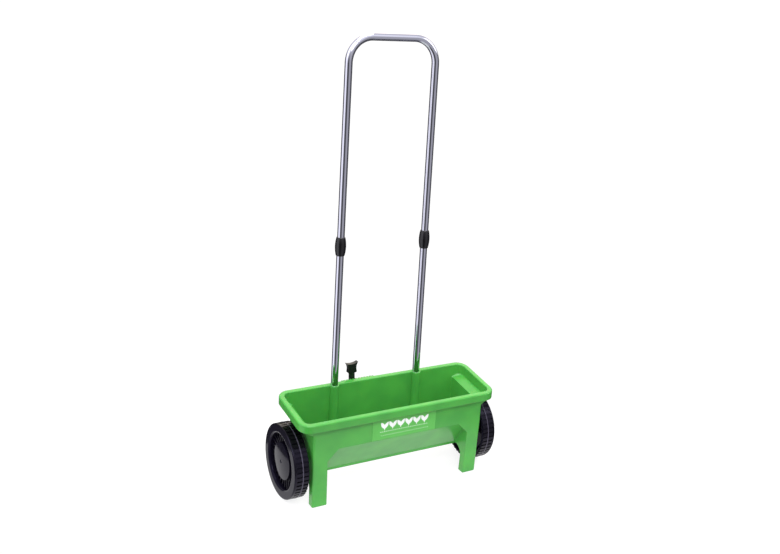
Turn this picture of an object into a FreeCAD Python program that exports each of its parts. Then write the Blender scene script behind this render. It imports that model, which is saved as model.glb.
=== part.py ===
import FreeCAD, Part
import math
import os

from FreeCAD import Placement, Rotation, Vector

# Garden drop spreader. Millimetres, +Z up, -Y is the front, the floor is z = 0 and the
# origin is under the middle of the footprint. Every size below can be set by itself.

# ---- driving sizes: wheels and axle
wheel_radius = 97.5
wheel_width = 40.0
wheel_outer_x = 297.5          # outer face of each wheel from the middle plane
tread_depth = 2.4              # height of the tread blocks
tread_blocks = 50
tread_fill = 0.62              # share of the pitch that a block takes
parting_ridge_width = 2.2
parting_ridge = 0.5            # ridge round the middle, above the blocks
shoulder_width = 6.0           # plain ring between the blocks and the outer face
shoulder_drop = 0.5
shoulder_round = 3.0
tyre_edge = 1.5
lip_round = 6.0                # rounding from the face ring into the recess
tyre_wall = 5.0
face_ring = 19.5               # breadth of the flat ring on the outer face
recess_depth = 20.0
wheel_wall = 3.0
wheel_ribs = 28
rib_thickness = 2.0
rib_share = 0.55               # height of the ribs as a share of the recess
rib_fall = 3.0                 # lower at the hub than at the face ring
hub_radius = 13.0
hub_outer_depth = 15.0         # outer end of the hub, in from the outer face
cap_radius = 48.0
cap_depth = 6.0                # rim of the hub cap, in from the outer face
cap_thickness = 2.0
cap_dome = 2.6
cap_bend_at = 0.55             # where the dome turns over, as a share of its radius
cap_bend_rise = 0.7            # and of its height
cap_dimple_radius = 5.0
cap_dimple_floor = 3.5
cap_dimple_depth = 1.2
axle_radius = 4.0
axle_chamfer = 0.6
axle_end_gap = 3.0             # axle end short of the hub cap
bore_clearance = 0.06          # radial, for what turns on a shaft
side_clearance = 0.2           # along a shaft, between what turns and what does not
washer_radius = 10.0
washer_thickness = 1.6
clip_radius = 8.0
clip_thickness = 1.0
clip_grip = 0.8                # how deep the clip sits in the axle
clip_mouth = 4.8
pin_radius = 1.5

# ---- driving sizes: hopper
rim_half_length = 285.0
rim_half_depth = 87.0          # measured along the sloping rim
rim_slope = 7.5                # degrees, the back edge is the higher one
rim_height = 246.4             # middle of the rim above the floor
rim_ahead = 15.4               # middle of the rim in front of the axle
rim_corner = 32.0
lip_width = 14.5
skirt_drop = 20.0
rim_round = 4.0
lip_edge_round = 2.5
wall = 3.0
body_half_length = 247.5       # outside of the end walls under the rim
shelf_drop = 27.0              # rim down to the outer edge of the shelf in each end
shelf_fall = 9.0
front_fold_height = 154.0      # lower edge of the upright front panel
back_fold_height = 112.0
floor_below_axle = 26.5        # underside of the trough, down from the axle
floor_front = 35.4             # trough floor, in front of the axle
floor_back = 34.6
sill_drop = 6.0                # lip under the front wall, over the rails
sill_thickness = 2.4
body_edge_round = 5.0

# ---- driving sizes: legs
leg_width = 40.0
leg_depth = 20.0
leg_draft = 2.5                # how much the outer face leans in on its way down
leg_edge_round = 4.0
gusset = 30.0
web_round = 26.0

# ---- driving sizes: handle
tube_radius = 9.5
tube_wall = 1.0
handle_half_base = 123.75      # tube centre from the middle plane, at the rim
handle_half_top = 120.1
handle_behind_rim = 73.4       # tube centre behind the middle of the rim
handle_lean = 1.05             # degrees backwards
handle_rise = 886.0            # centre of the top bar above the rim end of the tubes
bend_radius = 62.0
socket_depth = 100.0
socket_wall = 3.5
socket_tail = 25.0             # solid foot of the socket under the tube
handle_foot_drop = 3.0         # where the handle is measured from, under the rim plane
joint_height = 376.5           # where lower and upper tubes meet
collar_length = 48.0
collar_wall = 4.6              # at the belly of the barrel
collar_end_wall = 1.8
collar_end_round = 1.0
screw_sink = 2.2               # screw heads sit in pockets of the collar
plug_half_length = 40.0
plug_chamfer = 1.0
screw_radius = 2.0
screw_head_radius = 3.8
screw_head = 2.6
screw_head_round = 1.0
collar_screw_offset = 15.0
socket_screw_drop = 45.0

# ---- driving sizes: metering slide under the trough
slot_count = 12
slot_pitch = 37.0
slot_length = 20.0
slot_width = 9.0
shutter_width = 40.0
shutter_thickness = 2.4
shutter_half_length = 228.0
slide_clearance = 0.3
rail_width = 9.5
rail_lip = 4.5
rail_lip_thickness = 2.5
rail_screws_per_side = 5
rail_boss_radius = 4.0
rail_boss_height = 6.0
rail_screw_radius = 1.5
rail_screw_head = 2.0
rail_screw_spare = 1.0         # wall left over the screw's tip

# ---- driving sizes: metering lever behind the hopper
pivot_x = -52.5
pivot_height = 122.0
lever_lean = 4.0               # degrees towards -X as it stands
lever_closed = 17.0            # degrees each side of upright: shut and fully open
lever_thickness = 6.0
lever_gap = 6.2                # from the back of the rim to the lever
lever_hub_radius = 13.0
lever_stem_low = 18.0
lever_stem_top = 15.0
lever_bolt_radius = 4.0
lever_boss_radius = 10.0
lever_bolt_head_radius = 7.5
lever_bolt_head = 3.6
lever_bolt_round = 1.2
drive_arm = 40.0               # pivot down to the pin that moves the slide
pin_clearance = 0.7
drive_pin_radius = 3.0
fork_wall = 4.5
fork_reach = 9.0
tab_width = 24.0
tab_plate = 3.0
tab_gap = 2.0                  # between the tab's lug and the lever
knob_above_rim = 15.24         # foot of the knob over the back of the rim
knob_height = 29.0
knob_base_width = 25.0
knob_foot_chamfer = 2.0
knob_foot = 5.0                # height where the sides start to draw in
knob_waist_width = 23.0
knob_waist_at = 0.45           # share of the knob's height
knob_top_width = 34.0
knob_dish = 3.5
knob_thickness = 12.0
knob_socket = 12.0
rack_left = -94.0
rack_right = 0.0
rack_notches = 11
rack_notch = 3.0
rack_drop = 2.6
rack_height = 9.0

# ---- driving sizes: agitator and label
agitator_half_length = 236.0
agitator_sleeve_radius = 8.0
agitator_gap = 5.5             # fin tips above the floor of the trough
agitator_fin = 3.0
agitator_groups = 12
agitator_fins = 4
agitator_fin_share = 0.64      # length of a fin as a share of the pitch of the groups
bush_radius = 7.0
bush_flange_radius = 12.0
bush_flange = 2.0
label_left = -85.0
label_right = 102.0
label_bottom_gap = 1.0
label_top_gap = 1.5
label_thickness = 0.4

# ---- places worked out from the sizes
slope = math.radians(rim_slope)
rim_half_plan = rim_half_depth * math.cos(slope)
axle_y = (rim_ahead + rim_half_plan - wheel_radius) / 2.0
axle_z = wheel_radius
recess_radius = wheel_radius - face_ring
recess_wall = recess_radius - lip_round
floor_height = axle_z - floor_below_axle
agitator_fin_radius = floor_below_axle - wall - agitator_gap
rim_y = axle_y - rim_ahead
mouth_half_plan = (rim_half_depth - lip_width) * math.cos(slope)
front_y = rim_y - mouth_half_plan - wall
back_y = rim_y + mouth_half_plan + wall
rim_back_y = rim_y + rim_half_plan
rim_back_height = rim_height + rim_half_plan * math.tan(slope)
knob_base_height = rim_back_height + knob_above_rim - pivot_height
floor_front_y = axle_y - floor_front
floor_back_y = axle_y + floor_back
inner_half_length = body_half_length - wall
mouth_half_length = rim_half_length - lip_width
wheel_inner_x = wheel_outer_x - wheel_width
washer_x = body_half_length + wall + bush_flange
hub_inner_x = washer_x + washer_thickness + side_clearance
hub_outer_x = wheel_outer_x - hub_outer_depth
cap_x = wheel_outer_x - cap_depth
axle_half_length = cap_x - cap_thickness - axle_end_gap
shutter_top = floor_height - slide_clearance
lever_front_y = rim_back_y + lever_gap
lever_back_y = lever_front_y + lever_thickness
drive_pin_height = pivot_height - drive_arm
drive_pin_x = pivot_x + drive_arm * math.tan(math.radians(lever_lean))
slide_ratio = drive_arm        # slide travel for each radian of the lever
open_offset = slide_ratio * math.radians(lever_closed + lever_lean)
shut_offset = slide_ratio * math.radians(lever_closed - lever_lean)
collar_radius = tube_radius + collar_wall
collar_end_radius = tube_radius + collar_end_wall
collar_seat = collar_radius - screw_sink
handle_y = rim_y + handle_behind_rim
handle_z = rim_height + handle_behind_rim * math.tan(slope) - handle_foot_drop


# ---- small building blocks
def box(x0, x1, y0, y1, z0, z1):
    return Part.makeBox(x1 - x0, y1 - y0, z1 - z0, Vector(x0, y0, z0))


def prism_yz(points, x0, x1):
    """A closed outline in the YZ plane, pushed along X from x0 to x1."""
    corners = [Vector(x0, y, z) for y, z in points]
    face = Part.Face(Part.makePolygon(corners + corners[:1]))
    return face.extrude(Vector(x1 - x0, 0, 0))


def prism_xz(points, y0, y1):
    """A closed outline in the XZ plane, pushed along Y from y0 to y1."""
    corners = [Vector(x, y0, z) for x, z in points]
    face = Part.Face(Part.makePolygon(corners + corners[:1]))
    return face.extrude(Vector(0, y1 - y0, 0))


def rod_x(radius, x0, x1, y=axle_y, z=axle_z):
    return Part.makeCylinder(radius, x1 - x0, Vector(x0, y, z), Vector(1, 0, 0))


def rod_y(radius, y0, y1, x, z):
    return Part.makeCylinder(radius, y1 - y0, Vector(x, y0, z), Vector(0, 1, 0))


def rod_z(radius, z0, z1, x, y):
    return Part.makeCylinder(radius, z1 - z0, Vector(x, y, z0), Vector(0, 0, 1))


def ring_x(outer, inner, x0, x1):
    return rod_x(outer, x0, x1).cut(rod_x(inner, x0, x1))


def fused(shapes):
    whole = shapes[0]
    if len(shapes) > 1:
        whole = shapes[0].multiFuse(shapes[1:])
    return whole.removeSplitter()


def mirrored(shape):
    return shape.mirror(Vector(0, 0, 0), Vector(1, 0, 0))


def both_sides(shape):
    return [shape, mirrored(shape)]


def spread(count, pitch):
    """Places of a centred row."""
    return [(i - (count - 1) / 2.0) * pitch for i in range(count)]


# ---- hopper
def rim_plan(half_x, half_y, corner):
    """A rounded rectangle over the middle of the rim, seen from above."""
    cx = half_x - corner
    cy = half_y - corner
    diagonal = corner * math.sqrt(0.5)
    arcs = []
    for sx, sy in ((1, 1), (-1, 1), (-1, -1), (1, -1)):
        first = Vector(sx * half_x, sy * cy, 0)
        last = Vector(sx * cx, sy * half_y, 0)
        if sx * sy < 0:
            first, last = last, first
        middle = Vector(sx * (cx + diagonal), sy * (cy + diagonal), 0)
        arcs.append((first, middle, last))
    edges = []
    for i, (first, middle, last) in enumerate(arcs):
        edges.append(Part.Arc(first, middle, last).toShape())
        edges.append(Part.LineSegment(last, arcs[(i + 1) % 4][0]).toShape())
    outline = Part.Wire(edges)
    outline.translate(Vector(0, rim_y, 0))
    return Part.Face(outline)


def rim_block(half_x, half_y, corner, drop, height):
    """Upright walls on that plan, between two planes that slope as the rim does."""
    tall = rim_plan(half_x, half_y, corner).extrude(Vector(0, 0, 2 * rim_height))
    near, far = rim_y - 2 * rim_half_depth, rim_y + 2 * rim_half_depth
    low = drop + height
    slab = prism_yz([(near, rim_z(near, drop)), (far, rim_z(far, drop)),
                     (far, rim_z(far, low)), (near, rim_z(near, low))],
                    -2 * rim_half_length, 2 * rim_half_length)
    return tall.common(slab)


def rim_outline(half_x, half_y, corner, drop):
    """Outline of such a block where the sloping plane cuts it."""
    block = rim_block(half_x, half_y, corner, drop, wall)
    for face in block.Faces:
        if all(abs(v.Point.z - rim_z(v.Point.y, drop)) < 0.001 for v in face.Vertexes):
            return face.OuterWire


def rim_z(y, drop=0.0):
    """Height of the rim plane over a place in Y."""
    return rim_height + (y - rim_y) * math.tan(slope) - drop


def top_edges(solid, reach):
    """Edges in the plane of the rim that stay within a reach of the middle in X."""
    found = []
    for edge in solid.Edges:
        ends = [v.Point for v in edge.Vertexes]
        level = all(abs(p.z - rim_z(p.y)) < 0.01 for p in ends)
        if level and all(abs(p.x) < reach + 0.01 for p in ends):
            found.append(edge)
    return found


def rim_flange():
    """The rolled lip: a broad top with a skirt that hangs down all round."""
    outer = rim_block(rim_half_length, rim_half_plan, rim_corner, 0.0, skirt_drop)
    outer = outer.makeFillet(rim_round, top_edges(outer, rim_half_length))
    return outer.cut(rim_block(rim_half_length - wall, rim_half_plan - wall,
                               rim_corner - wall, wall, skirt_drop))


def upper_walls(grow):
    """The wide upper part down to the shelf: the cavity, or with a wall around it."""
    half_x = mouth_half_length + grow
    half_y = mouth_half_plan + grow
    corner = rim_corner - lip_width + grow
    lift = wall if grow == 0.0 else 0.0
    block = rim_block(half_x, half_y, corner, -lift, shelf_drop + lift + grow * 0.5)
    top = rim_outline(half_x, half_y, corner, shelf_drop + grow * 0.5)
    low = rim_outline(inner_half_length + grow, half_y, body_edge_round,
                      shelf_drop + shelf_fall + grow * 0.5)
    return block.fuse(Part.makeLoft([top, low], True, True))


def trough_outline(inset):
    """Cross-section under the rim: upright panels, then slopes to a flat floor."""
    front = front_y + inset
    back = back_y - inset
    slide_in = inset * 0.5
    return [(front, rim_z(front, shelf_drop)),
            (front, front_fold_height + slide_in),
            (floor_front_y + slide_in, floor_height + inset),
            (floor_back_y - slide_in, floor_height + inset),
            (back, back_fold_height + slide_in),
            (back, rim_z(back, shelf_drop))]


def upright_edges(solid, x, ys):
    """Upright edges at one X on either side, at the given places in Y."""
    found = []
    for edge in solid.Edges:
        ends = [v.Point for v in edge.Vertexes]
        if len(ends) < 2 or abs(ends[0].z - ends[1].z) < 1.0:
            continue
        on_x = all(abs(abs(p.x) - x) < 0.01 for p in ends)
        on_y = any(all(abs(p.y - y) < 0.01 for p in ends) for y in ys)
        if on_x and on_y:
            found.append(edge)
    return found


def trough(inset):
    half = body_half_length - inset
    body = prism_yz(trough_outline(inset), -half, half)
    ys = (front_y + inset, back_y - inset)
    return body.makeFillet(body_edge_round, upright_edges(body, half, ys))


def leg_side_outline():
    """Side view of a leg with the web that runs back under the trough."""
    leg_back = front_y + leg_depth
    top = front_fold_height + wall
    turn = math.sqrt(0.5) * web_round
    a = Vector(0, leg_back, floor_height - web_round)
    m = Vector(0, leg_back + web_round - turn, floor_height - web_round + turn)
    b = Vector(0, leg_back + web_round, floor_height)
    points = [b, Vector(0, floor_front_y, floor_height), Vector(0, front_y + wall, top),
              Vector(0, front_y, top), Vector(0, front_y, 0), Vector(0, leg_back, 0), a]
    edges = [Part.LineSegment(p, q).toShape() for p, q in zip(points, points[1:])]
    return Part.Face(Part.Wire([Part.Arc(a, m, b).toShape()] + edges))


def leg_front_outline(inset, bottom):
    """Front view of a leg with the slanting gusset at its inner top corner."""
    outer = body_half_length - inset
    inner = body_half_length - leg_width + inset
    fold = front_fold_height
    return [(inner - leg_draft, bottom), (outer - leg_draft, bottom), (outer, fold),
            (outer, fold + wall), (inner - gusset, fold + wall), (inner - gusset, fold),
            (inner, fold - gusset)]


def leg():
    """A leg is a channel: front, two sides and a foot plate, open at the back."""
    side = leg_side_outline()
    side.translate(Vector(body_half_length - leg_width - 2 * gusset, 0, 0))
    solid = side.extrude(Vector(leg_width + 2 * gusset, 0, 0))
    deep = floor_back_y
    front = prism_xz(leg_front_outline(0.0, 0.0), front_y - 1, deep)
    solid = solid.common(front).removeSplitter()
    foot = [e for e in solid.Edges if all(abs(v.Point.z) < 0.01 for v in e.Vertexes)]
    solid = solid.makeFillet(leg_edge_round, foot + leg_corner(solid))
    pocket = prism_xz(leg_front_outline(wall, wall), front_y + wall, deep)
    return solid.cut(pocket)


def leg_corner(solid):
    """The upright outer corner of a leg's front."""
    found = []
    for edge in solid.Edges:
        ends = [v.Point for v in edge.Vertexes]
        leans = abs(ends[0].z - ends[-1].z) > front_fold_height * 0.5
        if leans and all(abs(p.y - front_y) < 0.01 for p in ends):
            if min(p.x for p in ends) > body_half_length - leg_draft - 1.0:
                found.append(edge)
    return found


def tube_frame(side):
    """Placement with its origin at the rim end of a tube and +Z along the tube."""
    lean = math.radians(handle_lean)
    run = handle_rise / math.cos(lean)
    inward = (handle_half_base - handle_half_top) * -side
    axis = Vector(inward, run * math.sin(lean), run * math.cos(lean))
    turn = Rotation(Vector(0, 0, 1), axis)
    return Placement(Vector(side * handle_half_base, handle_y, handle_z), turn)


def on_tube(shape, side):
    placed = shape.copy()
    placed.Placement = tube_frame(side).multiply(placed.Placement)
    return placed


def socket_columns():
    """Half-round columns inside the back wall that hold the tubes."""
    low = -socket_depth - socket_tail
    column = Part.makeCylinder(tube_radius + socket_wall, wall - low, Vector(0, 0, low))
    cap = Part.makeSphere(tube_radius + socket_wall, Vector(0, 0, low))
    return [on_tube(column.fuse(cap), side) for side in (-1, 1)]


def socket_bores():
    bore = Part.makeCylinder(tube_radius, socket_depth + 4 * wall, Vector(0, 0, -socket_depth))
    screw = Part.makeCylinder(screw_radius, socket_wall + 2 * wall,
                              Vector(0, tube_radius - tube_wall, -socket_screw_drop),
                              Vector(0, 1, 0))
    return [on_tube(bore.fuse(screw), side) for side in (-1, 1)]


def lever_boss():
    """Round post on the back slope that carries the lever."""
    start = back_slope_y(pivot_height - lever_boss_radius) - wall
    return rod_y(lever_boss_radius, start, lever_front_y - side_clearance, pivot_x, pivot_height)


def index_rack():
    """Notched bar on the back of the rim that the lever stands over."""
    top = rim_z(rim_back_y, rack_drop)
    bar = box(rack_left, rack_right, rim_back_y - wall / 2, lever_front_y - 2 * side_clearance,
              top - rack_height, top)
    run = rack_right - rack_left
    cuts = []
    for x in spread(rack_notches, run / rack_notches):
        middle = x + (rack_left + rack_right) / 2.0
        cuts.append(box(middle - rack_notch / 2, middle + rack_notch / 2,
                        rim_back_y + wall / 2, lever_front_y, top - rack_height / 2, top + 1))
    return bar.cut(Part.makeCompound(cuts))


def rail_screw_places():
    pitch = 2 * (shutter_half_length - 3 * rail_width) / (rail_screws_per_side - 1)
    away = shutter_width / 2 + 2 * slide_clearance + rail_width / 2
    return [(x, axle_y + s * away) for s in (-1, 1) for x in spread(rail_screws_per_side, pitch)]


def rail_screw_length():
    return rail_boss_height + wall - rail_screw_spare


def hopper_holes():
    """Outlet slots, bush bores, screw holes and the bore of the lever bolt."""
    cuts = [box(x - slot_length / 2, x + slot_length / 2, axle_y - slot_width / 2,
                axle_y + slot_width / 2, floor_height - wall, floor_height + 2 * wall)
            for x in spread(slot_count, slot_pitch)]
    cuts.append(rod_x(bush_radius, -hub_inner_x, hub_inner_x))
    cuts += [rod_z(rail_screw_radius, floor_height - 1, floor_height + rail_screw_length(), x, y)
             for x, y in rail_screw_places()]
    bolt_start = back_slope_y(pivot_height) + 2 * wall
    cuts.append(rod_y(lever_bolt_radius, bolt_start, lever_back_y, pivot_x, pivot_height))
    return Part.makeCompound(cuts)


def back_slope_y(z):
    """Outer face of the back at a height: a slope, then the upright panel."""
    share = (z - floor_height) / (back_fold_height - floor_height)
    return floor_back_y + (back_y - floor_back_y) * min(share, 1.0)


def mouth_edges(shell):
    """The inner edges of the lip, all round the mouth."""
    inner = mouth_half_plan + 0.01
    return [e for e in top_edges(shell, mouth_half_length)
            if all(abs(v.Point.y - rim_y) < inner for v in e.Vertexes)]


def make_hopper():
    shell = [rim_flange(), upper_walls(wall), trough(0.0)]
    shell.append(box(-body_half_length + leg_width / 2, body_half_length - leg_width / 2,
                     floor_front_y, floor_front_y + sill_thickness,
                     floor_height - sill_drop, floor_height + wall))
    shell += both_sides(leg())
    shell += [rod_x(bush_flange_radius, -body_half_length - wall, body_half_length + wall)]
    shell.append(lever_boss())
    outer = fused(shell)
    cavity = fused([upper_walls(0.0), trough(wall)])
    hollow = outer.cut(cavity).removeSplitter()
    hollow = hollow.makeFillet(lip_edge_round, mouth_edges(hollow))
    keep = rim_block(rim_half_length, rim_half_plan - wall / 2, rim_corner, 0.0, rim_height)
    columns = fused(socket_columns()).common(keep)
    bosses = [rod_z(rail_boss_radius, floor_height, floor_height + wall + rail_boss_height, x, y)
              for x, y in rail_screw_places()]
    whole = fused([hollow, columns, index_rack()] + bosses)
    return whole.cut(Part.makeCompound(socket_bores() + [hopper_holes()])).removeSplitter()


def make_label():
    """Thin label on the upright front panel."""
    low = front_fold_height + label_bottom_gap
    high = rim_z(front_y, skirt_drop) - label_top_gap
    return box(label_left, label_right, front_y - label_thickness, front_y, low, high)


# ---- wheels
def tread_outline(radius):
    """A circle cut into blocks: an arc for each block and one for each gap."""
    pitch = 2 * math.pi / tread_blocks
    edges = []
    for i in range(tread_blocks):
        start = i * pitch
        turn = start + pitch * tread_fill
        stop = start + pitch
        outer = [Vector(0, radius * math.cos(t), radius * math.sin(t))
                 for t in (start, (start + turn) / 2, turn)]
        low = radius - tread_depth
        inner = [Vector(0, low * math.cos(t), low * math.sin(t))
                 for t in (turn, (turn + stop) / 2, stop)]
        following = Vector(0, radius * math.cos(stop), radius * math.sin(stop))
        edges.append(Part.Arc(*outer).toShape())
        edges.append(Part.LineSegment(outer[2], inner[0]).toShape())
        edges.append(Part.Arc(*inner).toShape())
        edges.append(Part.LineSegment(inner[2], following).toShape())
    return Part.Wire(edges)


def tread_band():
    """Blocks all round up to the shoulder, with a raised ridge around the middle."""
    x0 = wheel_inner_x + tyre_edge
    face = Part.Face(tread_outline(wheel_radius - parting_ridge))
    face.translate(Vector(x0, axle_y, axle_z))
    blocks = face.extrude(Vector(wheel_width - tyre_edge - shoulder_width, 0, 0))
    middle = (x0 + wheel_outer_x - shoulder_width) / 2.0
    half = parting_ridge_width / 2.0
    ridge = rod_x(wheel_radius, middle - half, middle + half)
    return fused([blocks, ridge])


def wheel_section():
    """Half section of the wheel as (radius, X): tyre, shoulder, face ring, cup, web and hub."""
    face = wheel_outer_x
    inner = wheel_inner_x
    web = face - recess_depth
    tyre = wheel_radius - parting_ridge - tread_depth
    shoulder = wheel_radius - shoulder_drop
    turn = shoulder_round * (1.0 - math.sqrt(0.5))
    seat = cap_x - cap_thickness
    bore = axle_radius + bore_clearance
    cup = cap_radius - wheel_wall
    bend = lip_round * (1.0 - math.sqrt(0.5))
    return [(bore, hub_inner_x), (hub_radius, hub_inner_x), (hub_radius, web - wheel_wall),
            (recess_wall, web - wheel_wall), (recess_wall + wheel_wall, web),
            (recess_wall + wheel_wall, face - wheel_wall - lip_round),
            (recess_radius + wheel_wall, face - wheel_wall), (tyre - tyre_wall, face - wheel_wall),
            (tyre - tyre_wall, inner), (tyre - tyre_edge, inner), (tyre, inner + tyre_edge),
            (tyre, face - shoulder_width), (shoulder, face - shoulder_width),
            (shoulder, face - shoulder_round),
            ((shoulder - turn, face - turn), (shoulder - shoulder_round, face)),
            (recess_radius, face),
            ((recess_wall + bend, face - bend), (recess_wall, face - lip_round)),
            (recess_wall, web), (cap_radius, web),
            (cap_radius, seat), (cup, seat), (cup, web), (hub_radius, web),
            (hub_radius, hub_outer_x), (bore, hub_outer_x)]


def turned(section):
    """A half section of (radius, X) turned about the axle, where a pair is an arc through a point."""
    def at(point):
        return Vector(point[1], axle_y + point[0], axle_z)
    edges = []
    last = at(section[0])
    for item in section[1:] + section[:1]:
        if isinstance(item[0], tuple):
            edges.append(Part.Arc(last, at(item[0]), at(item[1])).toShape())
            last = at(item[1])
        else:
            edges.append(Part.LineSegment(last, at(item)).toShape())
            last = at(item)
    face = Part.Face(Part.Wire(edges))
    return face.revolve(Vector(0, axle_y, axle_z), Vector(1, 0, 0), 360)


def wheel_rib_set():
    """Radial ribs that stiffen the recess between the cup and the face ring."""
    web = wheel_outer_x - recess_depth
    top = web + recess_depth * rib_share
    outline = [(cap_radius - wheel_wall / 2, web - wheel_wall / 2),
               (recess_wall + wheel_wall / 2, web - wheel_wall / 2),
               (recess_wall + wheel_wall / 2, top), (cap_radius - wheel_wall / 2, top - rib_fall)]
    corners = [Vector(x, axle_y - rib_thickness / 2, axle_z + r) for r, x in outline]
    face = Part.Face(Part.makePolygon(corners + corners[:1]))
    rib = face.extrude(Vector(0, rib_thickness, 0))
    ribs = []
    for i in range(wheel_ribs):
        one = rib.copy()
        one.rotate(Vector(0, axle_y, axle_z), Vector(1, 0, 0), 360.0 * i / wheel_ribs)
        ribs.append(one)
    return ribs


def make_wheel():
    """Right wheel: the blocks are cut hollow so that only a band is added to the tyre."""
    core = wheel_radius - parting_ridge - tread_depth - tyre_wall / 2
    band = tread_band().cut(rod_x(core, wheel_inner_x, wheel_outer_x))
    return fused([turned(wheel_section()), band] + wheel_rib_set())


def make_hub_cap():
    """Shallow domed disc with a small dimple, seated on the cup of the wheel."""
    top = cap_x + cap_dome
    seat = cap_x - cap_thickness
    return turned([(0.0, seat), (cap_radius, seat), (cap_radius, cap_x),
                   ((cap_radius * cap_bend_at, cap_x + cap_dome * cap_bend_rise),
                    (cap_dimple_radius, top)),
                   (cap_dimple_floor, top - cap_dimple_depth),
                   (0.0, top - cap_dimple_depth)])


# ---- axle and what turns with it
def wheel_pin_x():
    return (hub_inner_x + hub_outer_x) / 2.0


def cross_pin(x, half_length):
    return rod_z(pin_radius, axle_z - half_length, axle_z + half_length, x, axle_y)


def make_axle():
    rod = rod_x(axle_radius, -axle_half_length, axle_half_length)
    ends = [e for e in rod.Edges if e.Curve.TypeId == "Part::GeomCircle"]
    rod = rod.makeChamfer(axle_chamfer, ends)
    pins = [cross_pin(-wheel_pin_x(), hub_radius), cross_pin(slot_pitch, agitator_sleeve_radius)]
    grooves = [clip_groove(side) for side in (-1, 1)]
    return rod.cut(Part.makeCompound(pins + grooves))


def clip_span(side):
    near = hub_outer_x + side_clearance
    ends = sorted((side * near, side * (near + clip_thickness)))
    return ends[0], ends[1]


def clip_groove(side):
    x0, x1 = clip_span(side)
    return ring_x(clip_radius, axle_radius - clip_grip, x0, x1)


def make_axle_clips():
    """Spring clips snapped into the grooves outside the wheel hubs, open on one side."""
    clips = []
    for side in (-1, 1):
        x0, x1 = clip_span(side)
        ring = ring_x(clip_radius, axle_radius - clip_grip, x0, x1)
        mouth = box(x0, x1, axle_y - clip_mouth / 2, axle_y + clip_mouth / 2,
                    axle_z - clip_radius - 1, axle_z)
        clips.append(ring.cut(mouth))
    return Part.makeCompound(clips)


def make_washers():
    """Thrust washers between the end walls of the hopper and the wheel hubs."""
    washer = ring_x(washer_radius, axle_radius + bore_clearance, washer_x,
                    washer_x + washer_thickness)
    return Part.makeCompound(both_sides(washer))


def make_bush():
    """Flanged bush pressed into the right end wall from outside."""
    face = body_half_length + wall
    sleeve = rod_x(bush_radius, inner_half_length, face)
    flange = rod_x(washer_radius, face, face + bush_flange)
    bore = rod_x(axle_radius + bore_clearance, inner_half_length, face + bush_flange)
    return sleeve.fuse(flange).cut(bore).removeSplitter()


def fin_star(x0, x1, turn):
    """One group of straight fins around the agitator sleeve."""
    fins = []
    for i in range(agitator_fins // 2):
        blade = box(x0, x1, axle_y - agitator_fin / 2, axle_y + agitator_fin / 2,
                    axle_z - agitator_fin_radius, axle_z + agitator_fin_radius)
        angle = turn + 360.0 * i / agitator_fins
        blade.rotate(Vector(0, axle_y, axle_z), Vector(1, 0, 0), angle)
        fins.append(blade)
    return fins


def make_agitator():
    """Sleeve on the axle with staggered fins that stir the granules over the slots."""
    pitch = 2 * agitator_half_length / agitator_groups
    half_fin = pitch * agitator_fin_share / 2
    parts = [rod_x(agitator_sleeve_radius, -agitator_half_length, agitator_half_length)]
    for i, x in enumerate(spread(agitator_groups, pitch)):
        turn = (i % 2) * 180.0 / agitator_fins
        parts += fin_star(x - half_fin, x + half_fin, turn)
    whole = fused(parts)
    whole = whole.cut(rod_x(axle_radius, -axle_half_length, axle_half_length))
    return whole.cut(cross_pin(slot_pitch, agitator_fin_radius + 1.0))


# ---- handle
def lower_tube():
    outer = Part.makeCylinder(tube_radius, socket_depth + joint_height, Vector(0, 0, -socket_depth))
    inner = Part.makeCylinder(tube_radius - tube_wall, socket_depth + joint_height,
                              Vector(0, 0, -socket_depth))
    tube = outer.cut(inner)
    holes = [tube_screw(-socket_screw_drop, tube_wall), tube_screw(joint_height - collar_screw_offset,
                                                                  tube_wall)]
    return tube.cut(Part.makeCompound(holes))


def tube_screw(height, length):
    """Shank of a screw that enters the back of a tube."""
    return Part.makeCylinder(screw_radius, length + 1.0,
                             Vector(0, tube_radius - tube_wall - 0.5, height), Vector(0, 1, 0))


def handle_path():
    """Centre line of the U: up one side, round a bend, across, and down the other side."""
    lean = math.radians(handle_lean)
    run = handle_rise / math.cos(lean)
    half_joint = handle_half_base - (handle_half_base - handle_half_top) * joint_height / run
    side_angle = math.atan2(handle_half_base - handle_half_top, run)
    turn = math.pi / 2 - side_angle
    reach = bend_radius * math.tan(turn / 2)
    corner = Vector(handle_half_top, 0, run)
    side = Vector(math.sin(side_angle), 0, -math.cos(side_angle))
    start = Vector(half_joint, 0, joint_height)
    bend_in = corner + side * reach
    bend_out = corner + Vector(-reach, 0, 0)
    centre = bend_out + Vector(0, 0, -bend_radius)
    toward = corner - centre
    middle = centre + toward * (bend_radius / toward.Length)
    flip = lambda p: Vector(-p.x, p.y, p.z)
    return Part.Wire([Part.LineSegment(start, bend_in).toShape(),
                      Part.Arc(bend_in, middle, bend_out).toShape(),
                      Part.LineSegment(bend_out, flip(bend_out)).toShape(),
                      Part.Arc(flip(bend_out), flip(middle), flip(bend_in)).toShape(),
                      Part.LineSegment(flip(bend_in), flip(start)).toShape()])


def make_upper_handle():
    """Bent tube from collar to collar, hollow all the way."""
    path = handle_path()
    first = path.Edges[0]
    start = first.Vertexes[0].Point
    along = first.Vertexes[1].Point - start
    sweeps = []
    for radius in (tube_radius, tube_radius - tube_wall):
        ring = Part.Wire(Part.makeCircle(radius, start, along))
        sweeps.append(path.makePipeShell([ring], True, False))
    tube = sweeps[0].cut(sweeps[1])
    tube.rotate(Vector(0, 0, 0), Vector(1, 0, 0), -handle_lean)
    tube.translate(Vector(0, handle_y, handle_z))
    holes = [on_tube(tube_screw(joint_height + collar_screw_offset, tube_wall), s)
             for s in (-1, 1)]
    return tube.cut(Part.makeCompound(holes))


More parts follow.
